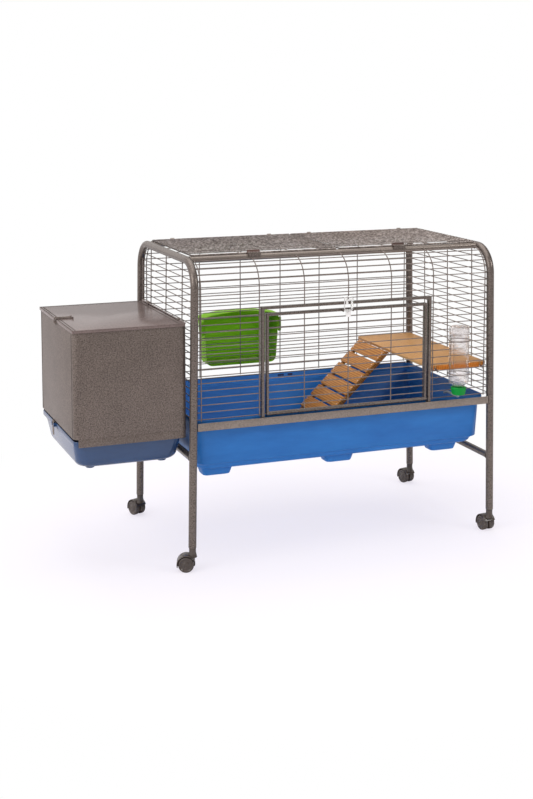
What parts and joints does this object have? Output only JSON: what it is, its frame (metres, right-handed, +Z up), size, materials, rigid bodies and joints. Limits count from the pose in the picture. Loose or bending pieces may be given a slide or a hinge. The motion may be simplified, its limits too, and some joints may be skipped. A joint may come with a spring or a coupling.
{
  "type": "rabbit cage",
  "caption": "Indoor rabbit cage on a wheeled tube stand, with a drop-down door, roof lids, a slide-out tray, a shelf with a ramp, a hay rack, a water bottle and a side nest box.",
  "frame": {"origin": "centre of the outline on the floor, under the castors", "axes": "+X along the cage towards the bottle and shelf end, +Y from the door side to the back, +Z up"},
  "size_m": [1.4578, 0.744, 0.9939],
  "materials": {
    "hammertone": "hammered grey lacquer on steel tube",
    "wire": "brown-grey coated steel wire",
    "sheet": "grey painted steel sheet",
    "lid": "light grey glossy painted sheet",
    "blue_plastic": "moulded blue plastic",
    "dark_blue_plastic": "moulded dark blue plastic",
    "green_plastic": "moulded green plastic",
    "wood": "plain softwood",
    "chrome": "bright zinc or chrome plated steel",
    "black_plastic": "black plastic clip",
    "castor_plastic": "dark brown-grey plastic",
    "cap_green": "green plastic cap",
    "clear_plastic": "clear plastic bottle",
    "white_plastic": "white plastic"
  },
  "bodies": {
    "cage_stand": {"left_hoop": "hammertone", "left_cross_bar": "hammertone", "left_mesh": "wire", "right_hoop": "hammertone", "right_cross_bar": "hammertone", "right_mesh": "wire", "front_rail": "hammertone", "rear_rail": "hammertone", "top_front_bar": "hammertone", "top_rear_bar": "hammertone", "roof_centre_bar": "hammertone", "front_mesh_left": "wire", "front_mesh_right": "wire", "front_mesh_top": "wire", "rear_mesh": "wire", "doorway_frame": "hammertone", "doorway_catch": "chrome", "platform_board": "wood", "platform_hook_front": "wire", "platform_hook_rear": "wire", "ramp_hinge_front": "chrome", "ramp_hinge_rear": "chrome", "hay_rack": "green_plastic", "bottle_body": "clear_plastic", "bottle_cap": "cap_green", "bottle_spout": "white_plastic", "bottle_bracket": "wire", "nest_front_panel": "sheet", "nest_rear_panel": "sheet", "nest_left_panel": "sheet", "nest_right_panel": "sheet"},
    "door": {"door_frame": "hammertone", "door_mesh": "wire"},
    "door_latch_bail": {"door_latch": "chrome"},
    "left_lid": {"roof_lid_left": "wire"},
    "right_lid": {"roof_lid_right": "wire"},
    "left_lid_latch": {"roof_latch_left": "black_plastic"},
    "right_lid_latch": {"roof_latch_right": "black_plastic"},
    "tray": {"main_tray": "blue_plastic"},
    "ramp": {"ramp_rail_front": "wood", "ramp_rail_rear": "wood", "ramp_hinge_rod": "chrome", "ramp_slat_1": "wood", "ramp_slat_2": "wood", "ramp_slat_3": "wood", "ramp_slat_4": "wood", "ramp_slat_5": "wood", "ramp_slat_6": "wood"},
    "nest_box_lid": {"nest_lid": "lid"},
    "nest_lid_bail": {"nest_latch": "chrome"},
    "nest_drawer": {"nest_tray": "dark_blue_plastic"},
    "nest_drawer_clip": {"nest_tray_clip": "chrome"},
    "castor_swivel_front_left": {"castor_hood_front_left": "castor_plastic"},
    "castor_wheel_pair_front_left": {"castor_wheels_front_left": "castor_plastic"},
    "castor_swivel_front_right": {"castor_hood_front_right": "castor_plastic"},
    "castor_wheel_pair_front_right": {"castor_wheels_front_right": "castor_plastic"},
    "castor_swivel_rear_left": {"castor_hood_rear_left": "castor_plastic"},
    "castor_wheel_pair_rear_left": {"castor_wheels_rear_left": "castor_plastic"},
    "castor_swivel_rear_right": {"castor_hood_rear_right": "castor_plastic"},
    "castor_wheel_pair_rear_right": {"castor_wheels_rear_right": "castor_plastic"}
  },
  "joints": [
    {"name": "door_hinge", "type": "hinge", "parent": "cage_stand", "child": "door", "pos_m": [0.17614, -0.2942, 0.48], "axis": [1, 0, 0], "range_deg": [0, 104]},
    {"name": "door_latch_pivot", "type": "hinge", "parent": "door", "child": "door_latch_bail", "pos_m": [0.16914, -0.3102, 0.7965], "axis": [1, 0, 0], "range_deg": [0, 25]},
    {"name": "roof_left_hinge", "type": "hinge", "parent": "cage_stand", "child": "left_lid", "pos_m": [-0.07386, 0.2108, 0.9839], "axis": [-1, 0, 0], "range_deg": [0, 115]},
    {"name": "roof_right_hinge", "type": "hinge", "parent": "cage_stand", "child": "right_lid", "pos_m": [0.42614, 0.2108, 0.9839], "axis": [-1, 0, 0], "range_deg": [0, 115]},
    {"name": "roof_left_latch_pivot", "type": "hinge", "parent": "left_lid", "child": "left_lid_latch", "pos_m": [-0.11786, -0.2112, 0.9839], "axis": [-1, 0, 0], "range_deg": [0, 50]},
    {"name": "roof_right_latch_pivot", "type": "hinge", "parent": "right_lid", "child": "right_lid_latch", "pos_m": [0.39314, -0.2112, 0.9839], "axis": [-1, 0, 0], "range_deg": [0, 50]},
    {"name": "tray_slide", "type": "slide", "parent": "cage_stand", "child": "tray", "axis": [1, 0, 0], "range_m": [0, 0.42]},
    {"name": "ramp_hinge", "type": "hinge", "parent": "cage_stand", "child": "ramp", "pos_m": [0.46214, 0.1098, 0.5734], "axis": [0, 1, 0], "range_deg": [0, 60]},
    {"name": "nest_lid_hinge", "type": "hinge", "parent": "cage_stand", "child": "nest_box_lid", "pos_m": [-0.37036, -0.0502, 0.786], "axis": [0, 1, 0], "range_deg": [0, 85]},
    {"name": "nest_latch_pivot", "type": "hinge", "parent": "nest_box_lid", "child": "nest_lid_bail", "pos_m": [-0.67236, -0.0602, 0.7871], "axis": [0, 1, 0], "range_deg": [0, 160]},
    {"name": "nest_tray_slide", "type": "slide", "parent": "cage_stand", "child": "nest_drawer", "axis": [-1, 0, 0], "range_m": [0, 0.3]},
    {"name": "nest_clip_pivot", "type": "hinge", "parent": "nest_drawer", "child": "nest_drawer_clip", "pos_m": [-0.72486, -0.0122, 0.4348], "axis": [0, -1, 0], "range_deg": [0, 25]},
    {"name": "castor_swivel_front_left_turn", "type": "hinge", "parent": "cage_stand", "child": "castor_swivel_front_left", "pos_m": [-0.35438, -0.2962, 0.07], "axis": [0, 0, 1], "continuous": true},
    {"name": "castor_wheel_front_left_roll", "type": "hinge", "parent": "castor_swivel_front_left", "child": "castor_wheel_pair_front_left", "pos_m": [-0.37322, -0.2895, 0.025], "axis": [-0.335, -0.9422, 0], "continuous": true},
    {"name": "castor_swivel_front_right_turn", "type": "hinge", "parent": "cage_stand", "child": "castor_swivel_front_right", "pos_m": [0.70666, -0.2962, 0.07], "axis": [0, 0, 1], "continuous": true},
    {"name": "castor_wheel_front_right_roll", "type": "hinge", "parent": "castor_swivel_front_right", "child": "castor_wheel_pair_front_right", "pos_m": [0.70447, -0.27632, 0.025], "axis": [-0.994, -0.109, 0], "continuous": true},
    {"name": "castor_swivel_rear_left_turn", "type": "hinge", "parent": "cage_stand", "child": "castor_swivel_rear_left", "pos_m": [-0.35438, 0.2958, 0.07], "axis": [0, 0, 1], "continuous": true},
    {"name": "castor_wheel_rear_left_roll", "type": "hinge", "parent": "castor_swivel_rear_left", "child": "castor_wheel_pair_rear_left", "pos_m": [-0.36178, 0.31438, 0.025], "axis": [-0.929, -0.3702, 0], "continuous": true},
    {"name": "castor_swivel_rear_right_turn", "type": "hinge", "parent": "cage_stand", "child": "castor_swivel_rear_right", "pos_m": [0.70666, 0.2958, 0.07], "axis": [0, 0, 1], "continuous": true},
    {"name": "castor_wheel_rear_right_roll", "type": "hinge", "parent": "castor_swivel_rear_right", "child": "castor_wheel_pair_rear_right", "pos_m": [0.70211, 0.31528, 0.025], "axis": [-0.9738, -0.2272, 0], "continuous": true}
  ]
}
